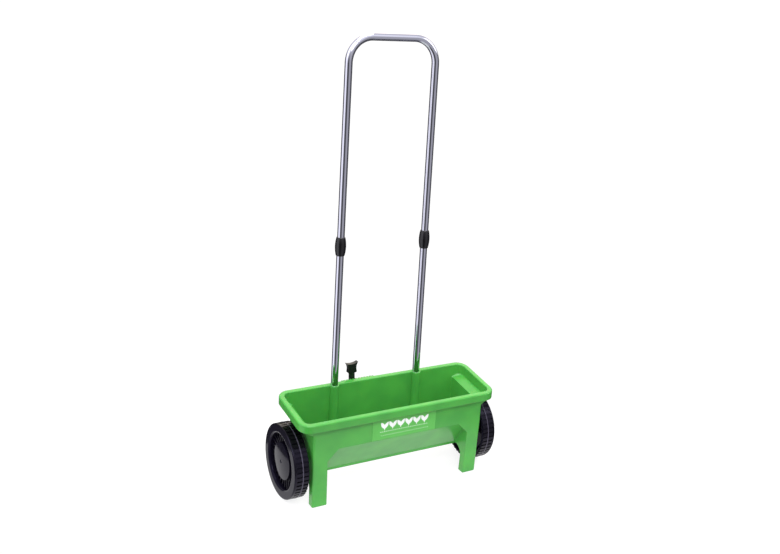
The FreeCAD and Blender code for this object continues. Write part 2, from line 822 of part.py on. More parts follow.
def collar():
    """Black barrel over the joint of the tubes, with pockets for its two screws."""
    half = collar_length / 2.0
    end = collar_end_radius - collar_end_round
    low, high = joint_height - half, joint_height + half
    outline = [Part.LineSegment(Vector(tube_radius, 0, low), Vector(end, 0, low)),
               Part.LineSegment(Vector(end, 0, low),
                                Vector(collar_end_radius, 0, low + collar_end_round)),
               Part.Arc(Vector(collar_end_radius, 0, low + collar_end_round),
                        Vector(collar_radius, 0, joint_height),
                        Vector(collar_end_radius, 0, high - collar_end_round)),
               Part.LineSegment(Vector(collar_end_radius, 0, high - collar_end_round),
                                Vector(end, 0, high)),
               Part.LineSegment(Vector(end, 0, high), Vector(tube_radius, 0, high)),
               Part.LineSegment(Vector(tube_radius, 0, high), Vector(tube_radius, 0, low))]
    section = Part.Face(Part.Wire([line.toShape() for line in outline]))
    barrel = section.revolve(Vector(0, 0, 0), Vector(0, 0, 1), 360)
    holes = [collar_screw_shank(s) for s in (-1, 1)]
    pockets = [Part.makeCylinder(screw_head_radius + side_clearance, collar_radius,
                                 Vector(0, collar_seat, collar_screw_height(s)), Vector(0, 1, 0))
               for s in (-1, 1)]
    return barrel.cut(Part.makeCompound(holes + pockets))


def collar_screw_height(side):
    return joint_height + side * collar_screw_offset


def collar_screw_shank(side):
    return Part.makeCylinder(screw_radius, collar_seat - tube_radius + tube_wall,
                             Vector(0, tube_radius - tube_wall, collar_screw_height(side)),
                             Vector(0, 1, 0))


def collar_screws(tube_side):
    """Two screws through the back of each collar and tube into the plug."""
    screws = []
    for side in (-1, 1):
        head = Part.makeCylinder(screw_head_radius, screw_head,
                                 Vector(0, collar_seat, collar_screw_height(side)),
                                 Vector(0, 1, 0))
        head = head.makeFillet(screw_head_round, [head.Edges[0]])
        screws.append(on_tube(head.fuse(collar_screw_shank(side)), tube_side))
    return screws


def joint_plug():
    """Inner plug that joins the lower and the upper tube."""
    plug = Part.makeCylinder(tube_radius - tube_wall, 2 * plug_half_length,
                             Vector(0, 0, joint_height - plug_half_length))
    return plug.makeChamfer(plug_chamfer, [plug.Edges[0], plug.Edges[2]])


def socket_screw():
    """Screw from the back of the socket into the lower tube."""
    reach = socket_wall + tube_wall
    shank = Part.makeCylinder(screw_radius, reach,
                              Vector(0, tube_radius - tube_wall, -socket_screw_drop),
                              Vector(0, 1, 0))
    head = Part.makeCylinder(screw_head_radius, screw_head,
                             Vector(0, tube_radius + socket_wall, -socket_screw_drop),
                             Vector(0, 1, 0))
    return shank.fuse(head).removeSplitter()


# ---- metering slide
def make_shutter():
    """Slotted strip under the floor, with a tab that turns up behind the hopper."""
    top = shutter_top
    low = top - shutter_thickness
    strip = box(-shutter_half_length, shutter_half_length, axle_y - shutter_width / 2,
                axle_y + shutter_width / 2, low, top)
    slots = [box(x + open_offset - slot_length / 2, x + open_offset + slot_length / 2,
                 axle_y - slot_width / 2, axle_y + slot_width / 2, low, top)
             for x in spread(slot_count, slot_pitch)]
    lug_back = lever_front_y - tab_gap
    x0 = drive_pin_x - tab_width / 2
    x1 = drive_pin_x + tab_width / 2
    tab = box(x0, x1, axle_y, lug_back, low, top)
    lug = box(x0, x1, lug_back - tab_plate, lug_back, low, drive_pin_height + 3 * drive_pin_radius)
    whole = fused([strip, tab, lug]).cut(Part.makeCompound(slots))
    return whole.cut(rod_y(drive_pin_radius, lug_back - tab_plate, lug_back,
                           drive_pin_x, drive_pin_height))


def make_shutter_pin():
    start = lever_front_y - tab_gap - tab_plate
    return rod_y(drive_pin_radius, start, lever_back_y + 1.0, drive_pin_x, drive_pin_height)


def rail(side):
    """Angle rail that carries one long edge of the slide."""
    edge = shutter_width / 2 + 2 * slide_clearance
    low = shutter_top - shutter_thickness - slide_clearance
    spine = sorted((axle_y + side * edge, axle_y + side * (edge + rail_width)))
    lip = sorted((axle_y + side * (edge - rail_lip), axle_y + side * (edge + rail_width)))
    half = shutter_half_length - rail_width
    upright = box(-half, half, spine[0], spine[1], low, floor_height)
    foot = box(-half, half, lip[0], lip[1], low - rail_lip_thickness, low)
    whole = fused([upright, foot])
    if side > 0:
        swing = tab_width / 2 + 2 * side_clearance
        gap = box(drive_pin_x - swing - open_offset, drive_pin_x + swing + shut_offset,
                  spine[0], spine[1], low, floor_height)
        whole = whole.cut(gap)
    holes = [rod_z(rail_screw_radius, low - rail_lip_thickness, floor_height, x, y)
             for x, y in rail_screw_places() if (y - axle_y) * side > 0]
    return whole.cut(Part.makeCompound(holes))


def make_rail_screws():
    low = shutter_top - shutter_thickness - slide_clearance - rail_lip_thickness
    screws = []
    for x, y in rail_screw_places():
        shank = rod_z(rail_screw_radius, low, floor_height + rail_screw_length(), x, y)
        head = rod_z(2 * rail_screw_radius, low - rail_screw_head, low, x, y)
        screws.append(shank.fuse(head).removeSplitter())
    return Part.makeCompound(screws)


# ---- metering lever, drawn upright and then leaned about its pivot
def leaned(shape):
    tilted = shape.copy()
    tilted.rotate(Vector(pivot_x, 0, pivot_height), Vector(0, 1, 0), -lever_lean)
    return tilted


def stem_top():
    return pivot_height + knob_base_height + knob_socket


def make_lever():
    """Flat arm: a stem up to the knob, a round hub and a fork over the pin of the slide."""
    y0, y1 = lever_front_y, lever_back_y
    low_half = lever_stem_low / 2
    top_half = lever_stem_top / 2
    stem = prism_xz([(pivot_x - low_half, pivot_height), (pivot_x + low_half, pivot_height),
                     (pivot_x + top_half, stem_top()), (pivot_x - top_half, stem_top())], y0, y1)
    hub = rod_y(lever_hub_radius, y0, y1, pivot_x, pivot_height)
    slot_half = drive_pin_radius + pin_clearance
    fork_half = slot_half + fork_wall
    fork_low = drive_pin_height - fork_reach
    fork = box(pivot_x - fork_half, pivot_x + fork_half, y0, y1, fork_low, pivot_height)
    slot_top = drive_pin_height + drive_pin_radius + 4 * pin_clearance
    slot = box(pivot_x - slot_half, pivot_x + slot_half, y0, y1, fork_low, slot_top)
    arm = fused([stem, hub, fork]).cut(slot)
    bore = rod_y(lever_bolt_radius + bore_clearance, y0, y1, pivot_x, pivot_height)
    return leaned(arm.cut(bore))


def make_knob():
    """Fishtail knob pushed over the top of the stem: flared, with a dished top."""
    low = pivot_height + knob_base_height
    top = low + knob_height
    y_mid = (lever_front_y + lever_back_y) / 2.0
    y0 = y_mid - knob_thickness / 2
    half = knob_base_width / 2
    right = [(half - knob_foot_chamfer, 0.0), (half, knob_foot_chamfer), (half, knob_foot)]
    waist = Vector(pivot_x + knob_waist_width / 2, y0, low + knob_height * knob_waist_at)
    foot = [Vector(pivot_x + x, y0, low + z) for x, z in right]
    tip = Vector(pivot_x + knob_top_width / 2, y0, top)
    flip = lambda p: Vector(2 * pivot_x - p.x, p.y, p.z)
    dish = Vector(pivot_x, y0, top - knob_dish)
    edges = [Part.LineSegment(foot[0], foot[1]).toShape(),
             Part.LineSegment(foot[1], foot[2]).toShape(),
             Part.Arc(foot[2], waist, tip).toShape(),
             Part.Arc(tip, dish, flip(tip)).toShape(),
             Part.Arc(flip(tip), flip(waist), flip(foot[2])).toShape(),
             Part.LineSegment(flip(foot[2]), flip(foot[1])).toShape(),
             Part.LineSegment(flip(foot[1]), flip(foot[0])).toShape(),
             Part.LineSegment(flip(foot[0]), foot[0]).toShape()]
    solid = Part.Face(Part.Wire(edges)).extrude(Vector(0, knob_thickness, 0))
    rise = stem_top() - pivot_height
    width_at = lambda h: (lever_stem_low + (lever_stem_top - lever_stem_low) * h / rise) / 2
    a, b = width_at(knob_base_height), width_at(rise)
    socket = prism_xz([(pivot_x - a, low), (pivot_x + a, low), (pivot_x + b, stem_top()),
                       (pivot_x - b, stem_top())], lever_front_y, lever_back_y)
    return leaned(solid.cut(socket))


def make_lever_washer():
    y0 = lever_back_y + side_clearance
    washer = rod_y(lever_hub_radius - 2.0, y0, y0 + washer_thickness, pivot_x, pivot_height)
    return washer.cut(rod_y(lever_bolt_radius, y0, y0 + washer_thickness, pivot_x, pivot_height))


def make_lever_bolt():
    """Shouldered bolt in the boss, its head over the washer."""
    y0 = back_slope_y(pivot_height) + 2 * wall
    head_y = lever_back_y + side_clearance + washer_thickness
    shank = rod_y(lever_bolt_radius, y0, head_y, pivot_x, pivot_height)
    head = rod_y(lever_bolt_head_radius, head_y, head_y + lever_bolt_head, pivot_x, pivot_height)
    outer = [e for e in head.Edges if all(v.Point.y > head_y + 1 for v in e.Vertexes)]
    head = head.makeFillet(lever_bolt_round, outer[:1])
    return shank.fuse(head).removeSplitter()


def build_nodes():
    wheel = make_wheel()
    cap = make_hub_cap()
    bush = make_bush()
    left_wheel = mirrored(wheel).cut(cross_pin(-wheel_pin_x(), hub_radius))
    nodes = {
        "hopper": make_hopper(),
        "front_label": make_label(),
        "wheel_left": left_wheel,
        "wheel_right": wheel,
        "hub_cap_left": mirrored(cap),
        "hub_cap_right": cap,
        "axle": make_axle(),
        "axle_clips": make_axle_clips(),
        "thrust_washers": make_washers(),
        "axle_bush_left": mirrored(bush),
        "axle_bush_right": bush,
        "wheel_drive_pin": cross_pin(-wheel_pin_x(), hub_radius),
        "agitator": make_agitator(),
        "agitator_pin": cross_pin(slot_pitch, agitator_sleeve_radius),
        "lower_tube_left": on_tube(lower_tube(), -1),
        "lower_tube_right": on_tube(lower_tube(), 1),
        "upper_handle": make_upper_handle(),
        "collar_left": on_tube(collar(), -1),
        "collar_right": on_tube(collar(), 1),
        "joint_plug_left": on_tube(joint_plug(), -1),
        "joint_plug_right": on_tube(joint_plug(), 1),
        "collar_screws": Part.makeCompound(collar_screws(-1) + collar_screws(1)),
        "socket_screws": Part.makeCompound([on_tube(socket_screw(), s) for s in (-1, 1)]),
        "shutter": make_shutter(),
        "shutter_pin": make_shutter_pin(),
        "shutter_rail_front": rail(-1),
        "shutter_rail_rear": rail(1),
        "rail_screws": make_rail_screws(),
        "metering_lever": make_lever(),
        "lever_knob": make_knob(),
        "lever_bolt": make_lever_bolt(),
        "lever_washer": make_lever_washer(),
    }
    return nodes


def main():
    os.makedirs("parts", exist_ok=True)
    for name, shape in build_nodes().items():
        shape.exportStep("parts/" + name + ".step")
        size = shape.BoundBox
        print(name, len(shape.Solids), shape.isValid(), round(shape.Volume / 1000.0, 2), "cm3",
              [round(v, 1) for v in (size.XMin, size.XMax, size.YMin, size.YMax,
                                     size.ZMin, size.ZMax)])
    print("pivot", pivot_x, round(lever_front_y, 2), round(lever_back_y, 2), pivot_height)
    print("axle", round(axle_y, 3), axle_z, "pin", round(drive_pin_x, 2), drive_pin_height)
    print("slide travel", round(-open_offset, 3), round(shut_offset, 3), "per radian", slide_ratio)


main()
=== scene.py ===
import math

import bmesh
import bpy
import numpy as np
from mathutils import Matrix, Vector


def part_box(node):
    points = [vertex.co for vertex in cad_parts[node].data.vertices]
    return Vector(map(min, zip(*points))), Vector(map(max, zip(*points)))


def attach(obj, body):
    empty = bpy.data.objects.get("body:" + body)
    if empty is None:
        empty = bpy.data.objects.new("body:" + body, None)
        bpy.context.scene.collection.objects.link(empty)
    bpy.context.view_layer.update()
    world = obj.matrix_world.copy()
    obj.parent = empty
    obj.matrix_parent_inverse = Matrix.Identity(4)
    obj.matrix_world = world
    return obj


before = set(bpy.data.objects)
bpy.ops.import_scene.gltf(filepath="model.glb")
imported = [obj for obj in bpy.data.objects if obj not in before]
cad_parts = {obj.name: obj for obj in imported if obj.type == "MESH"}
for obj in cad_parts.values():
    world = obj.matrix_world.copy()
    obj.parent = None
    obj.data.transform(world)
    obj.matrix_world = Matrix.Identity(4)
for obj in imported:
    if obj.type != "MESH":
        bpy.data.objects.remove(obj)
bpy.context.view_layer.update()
MM = 0.001
AXLE_Y = 2.08 * MM
AXLE_Z = 97.5 * MM
WHEEL_RADIUS = 97.5 * MM
RIDGE_X = 275.25 * MM            # ridge of each tread, from the middle plane


# ---- meshes worked out from functions of two parameters
def surface(name, grids, closed=False):
    """Mesh of one or more grids of points, each with shape (rows, columns, 3).

    Each grid becomes quads between neighbouring rows and columns. With closed set, the last
    column joins the first again."""
    grids = np.asarray(grids, dtype=float)
    count, rows, columns = grids.shape[:3]
    index = np.arange(count * rows * columns).reshape(count, rows, columns)
    following = np.roll(index, -1, axis=2) if closed else index[:, :, 1:]
    first = index if closed else index[:, :, :-1]
    quads = np.stack([first[:, :-1], following[:, :-1], following[:, 1:], first[:, 1:]], axis=-1)
    quads = quads.reshape(-1, 4)
    mesh = bpy.data.meshes.new(name)
    mesh.vertices.add(grids.size // 3)
    mesh.vertices.foreach_set("co", grids.ravel())
    mesh.loops.add(quads.size)
    mesh.loops.foreach_set("vertex_index", quads.ravel())
    mesh.polygons.add(len(quads))
    mesh.polygons.foreach_set("loop_start", np.arange(0, quads.size, 4))
    mesh.update(calc_edges=True)
    weld(mesh)
    piece = bpy.data.objects.new(name, mesh)
    bpy.context.collection.objects.link(piece)
    return piece


def weld(mesh):
    """Makes one vertex of all that share a place, so that the middle of a disc is closed."""
    cage = bmesh.new()
    cage.from_mesh(mesh)
    bmesh.ops.remove_doubles(cage, verts=cage.verts, dist=0.001 * MM)
    cage.to_mesh(mesh)
    cage.free()


def disc(radius, rings, turns, middle):
    """Flat disc that faces up: the first parameter runs from rim to middle, the second round."""
    share = np.linspace(1.0, 0.0, rings)[:, None]
    angle = np.linspace(0.0, 2 * math.pi, turns, endpoint=False)[None, :]
    x = middle[0] + radius * share * np.cos(angle)
    y = middle[1] + radius * share * np.sin(angle)
    return np.stack([x, y, np.full_like(x, middle[2])], axis=-1)


# ---- materials
def linear(code):
    """Linear colour of an sRGB hex value."""
    parts = [int(code[i:i + 2], 16) / 255.0 for i in (1, 3, 5)]
    curve = [c / 12.92 if c <= 0.04045 else ((c + 0.055) / 1.055) ** 2.4 for c in parts]
    return (*curve, 1.0)


def add(tree, kind, settings=None, values=None, links=None):
    """Adds one node, sets its properties and input values, and links its inputs."""
    node = tree.nodes.new(kind)
    for name, value in (settings or {}).items():
        setattr(node, name, value)
    for name, value in (values or {}).items():
        node.inputs[name].default_value = value
    for name, source in (links or {}).items():
        tree.links.new(source, node.inputs[name])
    return node


def blank(name):
    """New material with an empty node tree."""
    material = bpy.data.materials.new(name)
    material.use_nodes = True
    material.node_tree.nodes.clear()
    return material, material.node_tree


def surfaced(tree, values, links):
    """Ends a tree in a Principled shader."""
    shader = add(tree, "ShaderNodeBsdfPrincipled", values=values, links=links)
    add(tree, "ShaderNodeOutputMaterial", links={"Surface": shader.outputs["BSDF"]})


def per_metre(size_mm):
    """Scale of a pattern whose features are so many millimetres across."""
    return 1.0 / (size_mm * MM)


def moulded_polypropylene():
    """Coloured polypropylene from a polished mould: even, slightly milky, soft highlights.

    Broad waves of 45 mm are the sink and flow marks of thin walls; the grain is 1.6 mm, drawn
    coarser than the real 0.3 mm so that it shows."""
    material, tree = blank("moulded_polypropylene")
    place = add(tree, "ShaderNodeTexCoord").outputs["Object"]
    cloud = add(tree, "ShaderNodeTexNoise", values={"Scale": per_metre(70.0), "Detail": 2.0},
                links={"Vector": place})
    tint = add(tree, "ShaderNodeValToRGB", links={"Fac": cloud.outputs["Fac"]})
    tint.color_ramp.elements[0].position = 0.35
    tint.color_ramp.elements[0].color = linear("#459c40")
    tint.color_ramp.elements[1].position = 0.68
    tint.color_ramp.elements[1].color = linear("#4da843")
    wave = add(tree, "ShaderNodeTexNoise", values={"Scale": per_metre(45.0), "Detail": 1.0},
               links={"Vector": place})
    grain = add(tree, "ShaderNodeTexNoise", values={"Scale": per_metre(1.6), "Detail": 2.0},
                links={"Vector": place})
    edge = add(tree, "ShaderNodeBevel", {"samples": 4}, {"Radius": 1.6 * MM})
    low = add(tree, "ShaderNodeBump", values={"Strength": 0.06, "Distance": 2.0 * MM},
              links={"Height": wave.outputs["Fac"], "Normal": edge.outputs["Normal"]})
    fine = add(tree, "ShaderNodeBump", values={"Strength": 0.10, "Distance": 0.12 * MM},
               links={"Height": grain.outputs["Fac"], "Normal": low.outputs["Normal"]})
    rough = add(tree, "ShaderNodeMapRange", values={"To Min": 0.18, "To Max": 0.27},
                links={"Value": cloud.outputs["Fac"]})
    surfaced(tree, {"IOR": 1.49, "Specular IOR Level": 0.42, "Subsurface Weight": 0.15,
                    "Subsurface Scale": 4.0 * MM},
             {"Base Color": tint.outputs["Color"], "Roughness": rough.outputs["Result"],
              "Normal": fine.outputs["Normal"]})
    return material


def glossy_plastic(name, dark, light, roughness, grain_mm, depth_mm):
    """Moulded plastic with a fine grain and a little unevenness in its gloss."""
    material, tree = blank(name)
    place = add(tree, "ShaderNodeTexCoord").outputs["Object"]
    cloud = add(tree, "ShaderNodeTexNoise", values={"Scale": per_metre(25.0), "Detail": 3.0},
                links={"Vector": place})
    tint = add(tree, "ShaderNodeValToRGB", links={"Fac": cloud.outputs["Fac"]})
    tint.color_ramp.elements[0].position = 0.35
    tint.color_ramp.elements[0].color = linear(dark)
    tint.color_ramp.elements[1].position = 0.70
    tint.color_ramp.elements[1].color = linear(light)
    grain = add(tree, "ShaderNodeTexNoise", values={"Scale": per_metre(grain_mm), "Detail": 2.0},
                links={"Vector": place})
    edge = add(tree, "ShaderNodeBevel", {"samples": 4}, {"Radius": 0.7 * MM})
    bump = add(tree, "ShaderNodeBump", values={"Strength": 0.25, "Distance": depth_mm * MM},
               links={"Height": grain.outputs["Fac"], "Normal": edge.outputs["Normal"]})
    rough = add(tree, "ShaderNodeMapRange",
                values={"To Min": roughness - 0.05, "To Max": roughness + 0.05},
                links={"Value": cloud.outputs["Fac"]})
    surfaced(tree, {"IOR": 1.50},
             {"Base Color": tint.outputs["Color"], "Roughness": rough.outputs["Result"],
              "Normal": bump.outputs["Normal"]})
    return material


def wheel_polyethylene():
    """Black polyethylene of the wheels: glossy face, tread scuffed matt; the face's violet cast
    is painted sheen, a lighter and more violet colour than the tread's that stands in for tinted
    reflections.

    Radius from the axle tells tread from face. The ridge round the middle of the tread, 2.2 mm
    wide, is drawn paler as a painted highlight of its rounded top; the block tops are rubbed
    paler by the ground, a little."""
    material, tree = blank("blow_moulded_polyethylene_black")
    place = add(tree, "ShaderNodeTexCoord").outputs["Object"]
    parts = add(tree, "ShaderNodeSeparateXYZ", links={"Vector": place})
    from_axle = add(tree, "ShaderNodeVectorMath", {"operation": "SUBTRACT"},
                    {1: (0.0, AXLE_Y, AXLE_Z)}, {0: place})
    round_axle = add(tree, "ShaderNodeVectorMath", {"operation": "MULTIPLY"},
                     {1: (0.0, 1.0, 1.0)}, {0: from_axle.outputs["Vector"]})
    radius = add(tree, "ShaderNodeVectorMath", {"operation": "LENGTH"},
                 links={0: round_axle.outputs["Vector"]}).outputs["Value"]
    tread = add(tree, "ShaderNodeMapRange", {"interpolation_type": "SMOOTHSTEP"},
                {"From Min": WHEEL_RADIUS - 3.5 * MM, "From Max": WHEEL_RADIUS - 2.7 * MM},
                {"Value": radius})
    top = add(tree, "ShaderNodeMapRange", {"interpolation_type": "SMOOTHSTEP"},
              {"From Min": WHEEL_RADIUS - 1.7 * MM, "From Max": WHEEL_RADIUS - 0.7 * MM},
              {"Value": radius})
    away = add(tree, "ShaderNodeMath", {"operation": "ABSOLUTE"}, links={0: parts.outputs["X"]})
    beside = add(tree, "ShaderNodeMath", {"operation": "SUBTRACT"}, {1: RIDGE_X},
                 {0: away.outputs[0]})
    off_ridge = add(tree, "ShaderNodeMath", {"operation": "ABSOLUTE"},
                    links={0: beside.outputs[0]})
    near_ridge = add(tree, "ShaderNodeMapRange", {"interpolation_type": "SMOOTHSTEP"},
                     {"From Min": 1.0 * MM, "From Max": 2.0 * MM, "To Min": 1.0, "To Max": 0.0},
                     {"Value": off_ridge.outputs[0]})
    ridge = add(tree, "ShaderNodeMath", {"operation": "MULTIPLY"},
                links={0: near_ridge.outputs["Result"], 1: top.outputs["Result"]})
    scuff = add(tree, "ShaderNodeTexNoise", values={"Scale": per_metre(9.0), "Detail": 4.0},
                links={"Vector": place})
    # Painted sheen: the face takes a lighter, more violet colour than the tread, standing in for
    # the violet cast of its reflections.
    face = add(tree, "ShaderNodeMix", {"data_type": "RGBA"},
               {"A": linear("#110f1a"), "B": linear("#050506")},
               {"Factor": tread.outputs["Result"]})
    worn = add(tree, "ShaderNodeMapRange", values={"From Min": 0.35, "From Max": 0.7,
                                                   "To Min": 0.2, "To Max": 0.7},
               links={"Value": scuff.outputs["Fac"]})
    rubbed = add(tree, "ShaderNodeMath", {"operation": "MULTIPLY"},
                 links={0: worn.outputs["Result"], 1: top.outputs["Result"]})
    block = add(tree, "ShaderNodeMix", {"data_type": "RGBA"}, {"B": linear("#17151a")},
                {"Factor": rubbed.outputs[0], "A": face.outputs["Result"]})
    # Painted highlight: the ridge round the middle of the tread is drawn paler, for light caught
    # on its rounded top.
    paler = add(tree, "ShaderNodeMix", {"data_type": "RGBA"}, {"B": linear("#4a4652")},
                {"Factor": ridge.outputs[0], "A": block.outputs["Result"]})
    rough = add(tree, "ShaderNodeMapRange", values={"To Min": 0.12, "To Max": 0.20},
                links={"Value": tread.outputs["Result"]})
    level = add(tree, "ShaderNodeMapRange", values={"To Min": 0.09, "To Max": 0.22},
                links={"Value": tread.outputs["Result"]})
    grain = add(tree, "ShaderNodeTexNoise", values={"Scale": per_metre(1.5), "Detail": 2.0},
                links={"Vector": place})
    edge = add(tree, "ShaderNodeBevel", {"samples": 4}, {"Radius": 0.6 * MM})
    bump = add(tree, "ShaderNodeBump", values={"Strength": 0.2, "Distance": 0.03 * MM},
               links={"Height": grain.outputs["Fac"], "Normal": edge.outputs["Normal"]})
    surfaced(tree, {"IOR": 1.50, "Specular Tint": linear("#c8bff0")},
             {"Base Color": paler.outputs["Result"], "Roughness": rough.outputs["Result"],
              "Specular IOR Level": level.outputs["Result"], "Normal": bump.outputs["Normal"]})
    return material


def chromed_steel():
    """Bright chrome plate on drawn tube: a mirror with very faint lengthwise draw lines.

    The lines are 0.8 mm apart round the tube and 120 mm long, coarser than the real ones."""
    material, tree = blank("chromed_steel_tube")
    place = add(tree, "ShaderNodeTexCoord").outputs["Object"]
    drawn = add(tree, "ShaderNodeMapping",
                values={"Scale": (per_metre(0.8), per_metre(0.8), per_metre(120.0))},
                links={"Vector": place})
    lines = add(tree, "ShaderNodeTexNoise", values={"Scale": 1.0, "Detail": 1.0},
                links={"Vector": drawn.outputs["Vector"]})
    bump = add(tree, "ShaderNodeBump", values={"Strength": 0.08, "Distance": 0.02 * MM},
               links={"Height": lines.outputs["Fac"]})
    rough = add(tree, "ShaderNodeMapRange", values={"To Min": 0.04, "To Max": 0.11},
                links={"Value": lines.outputs["Fac"]})
    surfaced(tree, {"Base Color": linear("#cfcfdc"), "Metallic": 1.0},
             {"Roughness": rough.outputs["Result"], "Normal": bump.outputs["Normal"]})
    return material


def plated_steel(name, colour, roughness):
    """Zinc plate or bright drawn steel: satin, with small blotches 2 mm across."""
    material, tree = blank(name)
    place = add(tree, "ShaderNodeTexCoord").outputs["Object"]
    blotch = add(tree, "ShaderNodeTexNoise", values={"Scale": per_metre(2.0), "Detail": 4.0},
                 links={"Vector": place})
    rough = add(tree, "ShaderNodeMapRange",
                values={"To Min": roughness - 0.08, "To Max": roughness + 0.10},
                links={"Value": blotch.outputs["Fac"]})
    bump = add(tree, "ShaderNodeBump", values={"Strength": 0.1, "Distance": 0.03 * MM},
               links={"Height": blotch.outputs["Fac"]})
    surfaced(tree, {"Base Color": linear(colour), "Metallic": 1.0},
             {"Roughness": rough.outputs["Result"], "Normal": bump.outputs["Normal"]})
    return material


def wear(node, material):
    """Gives a CAD node's object one material."""
    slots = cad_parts[node].data.materials
    slots.clear()
    slots.append(material)


green = moulded_polypropylene()
tyre_black = wheel_polyethylene()
# Printed polyester film: paler than the moulding and a little duller, flat and even.
label_film = glossy_plastic("printed_film_light_green", "#54b148", "#59b74d", 0.32, 3.0, 0.02)
# Screen-printing ink: soft white, without a hard gloss.
print_white = glossy_plastic("white_printing_ink", "#eef3ec", "#f7faf5", 0.35, 3.0, 0.02)
# Nylon from a polished mould: black with small bright highlights on its round belly.
collar_black = glossy_plastic("polished_nylon_black", "#0c0b0e", "#131217", 0.18, 1.2, 0.02)
# Nylon from a sand-blasted mould: satin black, so that the lever shows few highlights.
lever_black = glossy_plastic("moulded_nylon_black", "#08080a", "#0e0e10", 0.34, 1.2, 0.04)
# Acetal copolymer, moulded: waxy charcoal, for what slides and stirs.
dark_plastic = glossy_plastic("moulded_acetal_black", "#1c1c1e", "#242427", 0.45, 1.0, 0.06)
# Undyed nylon, moulded: warm off-white with a soft sheen.
natural_nylon = glossy_plastic("natural_nylon", "#d9d6c8", "#e4e1d5", 0.40, 1.0, 0.04)
chrome = chromed_steel()
# Cold-drawn steel rod: bright, brushed along by the die.
bright_steel = plated_steel("bright_drawn_steel", "#b8b8ba", 0.28)
# Zinc-plated screws and washers: light grey, satin, slightly mottled.
zinc = plated_steel("zinc_plated_steel", "#a9adb0", 0.34)
# Oil-hardened spring steel: dark grey with an oily gleam.
spring_steel = plated_steel("oiled_spring_steel", "#5a5a60", 0.34)

WORN_BY = {
    "hopper": green, "front_label": label_film,
    "wheel_left": tyre_black, "wheel_right": tyre_black,
    "hub_cap_left": tyre_black, "hub_cap_right": tyre_black,
    "axle": bright_steel, "axle_clips": spring_steel, "wheel_drive_pin": bright_steel,
    "agitator_pin": bright_steel, "shutter_pin": bright_steel,
    "thrust_washers": natural_nylon, "axle_bush_left": natural_nylon,
    "axle_bush_right": natural_nylon, "agitator": dark_plastic, "shutter": dark_plastic,
    "shutter_rail_front": dark_plastic, "shutter_rail_rear": dark_plastic,
    "joint_plug_left": dark_plastic, "joint_plug_right": dark_plastic,
    "lower_tube_left": chrome, "lower_tube_right": chrome, "upper_handle": chrome,
    "collar_left": collar_black, "collar_right": collar_black,
    "metering_lever": lever_black, "lever_knob": lever_black,
    "collar_screws": zinc, "socket_screws": zinc, "rail_screws": zinc,
    "lever_bolt": zinc, "lever_washer": zinc,
}
for name, material in WORN_BY.items():
    wear(name, material)


# ---- print on the label
def seedlings(low, high, depth):
    """Row of seedlings: two leaves and a stem each, flat in the plane of the label.

    Along a leaf u runs from root to tip, and v from edge to edge. The midrib is a straight line
    at an angle from upright, bent outwards by a square law in u. The half width is the sine of
    half a turn of u, to the power 0.7. A stem has the same law with nearly no width. Left leaf,
    stem and right leaf lie one over the other. Lengths are shares of the row's height, and
    widths and the bend are shares of the pitch."""
    count = 6
    leaf_length, leaf_root, leaf_width, leaf_bend = 0.86, 0.22, 0.20, 0.06
    leaf_angle = np.radians(27.0)
    stem_length, stem_width = 0.46, 0.06
    layer = 0.02 * MM
    pitch = (high[0] - low[0]) / count
    tall = high[2] - low[2]
    step = np.repeat(np.arange(count), 3)[:, None, None]
    kind = np.tile(np.array([-1.0, 1.0, 0.0]), count)[:, None, None]
    u = np.linspace(0.0, 1.0, 13)[None, :, None]
    v = np.linspace(-1.0, 1.0, 5)[None, None, :]
    leaf = np.abs(kind)
    angle = leaf_angle * kind
    length = tall * (leaf_length * leaf + stem_length * (1.0 - leaf))
    widest = pitch * (leaf_width * leaf + stem_width * (1.0 - leaf))
    width = widest * np.sin(np.pi * (0.02 + 0.96 * u)) ** 0.7
    bend = pitch * leaf_bend * kind * u ** 2
    x = low[0] + pitch * (step + 0.5) + np.sin(angle) * length * u + bend
    z = low[2] + tall * leaf_root * leaf + np.cos(angle) * length * u
    x = x + np.cos(angle) * width * v
    z = z - np.sin(angle) * width * v
    y = np.broadcast_to(depth - layer * (kind + 1.0), x.shape)
    return np.stack([x, y, z], axis=-1)


def granule_dots(low, high, depth):
    """Rows of small round granules that get smaller as they fall.

    Each is a flat disc: one parameter runs from its rim to its middle, the other goes round."""
    rows, columns = 2, 26
    first_radius, shrink = 1.15 * MM, 0.22
    row = np.repeat(np.arange(rows), columns)
    column = np.tile(np.arange(columns), rows)
    shift = 0.5 * (row % 2)
    x = low[0] + (high[0] - low[0]) * (column + 0.25 + shift) / columns
    z = high[2] - (high[2] - low[2]) * row / (rows - 1)
    radius = first_radius * (1.0 - shrink * row)
    angle = np.linspace(0.0, 2 * math.pi, 12, endpoint=False)[None, None, :]
    share = np.array([1.0, 0.0])[None, :, None]
    px = x[:, None, None] + radius[:, None, None] * share * np.cos(angle)
    pz = z[:, None, None] + radius[:, None, None] * share * np.sin(angle)
    return np.stack([px, np.full_like(px, depth), pz], axis=-1)


label_low, label_high = (np.array(c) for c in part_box("front_label"))
label_size = label_high - label_low
ink = label_low[1] - 0.05 * MM
side_margin, foot_margin, head_margin = 0.12, 0.42, 0.20
tuft_low = label_low + np.array([side_margin, 0.0, foot_margin]) * label_size
tuft_high = label_high - np.array([side_margin, 0.0, head_margin]) * label_size
tuft = surface("label_seedlings", seedlings(tuft_low, tuft_high, ink))
dots_high = np.array([tuft_high[0], ink, tuft_low[2] - 3.5 * MM])
dots_low = np.array([tuft_low[0], ink, tuft_low[2] - 14.0 * MM])
dots = surface("label_granules", granule_dots(dots_low, dots_high, ink), closed=True)
for piece in (tuft, dots):
    piece.data.materials.append(print_white)
    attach(piece, "hopper_and_handle")


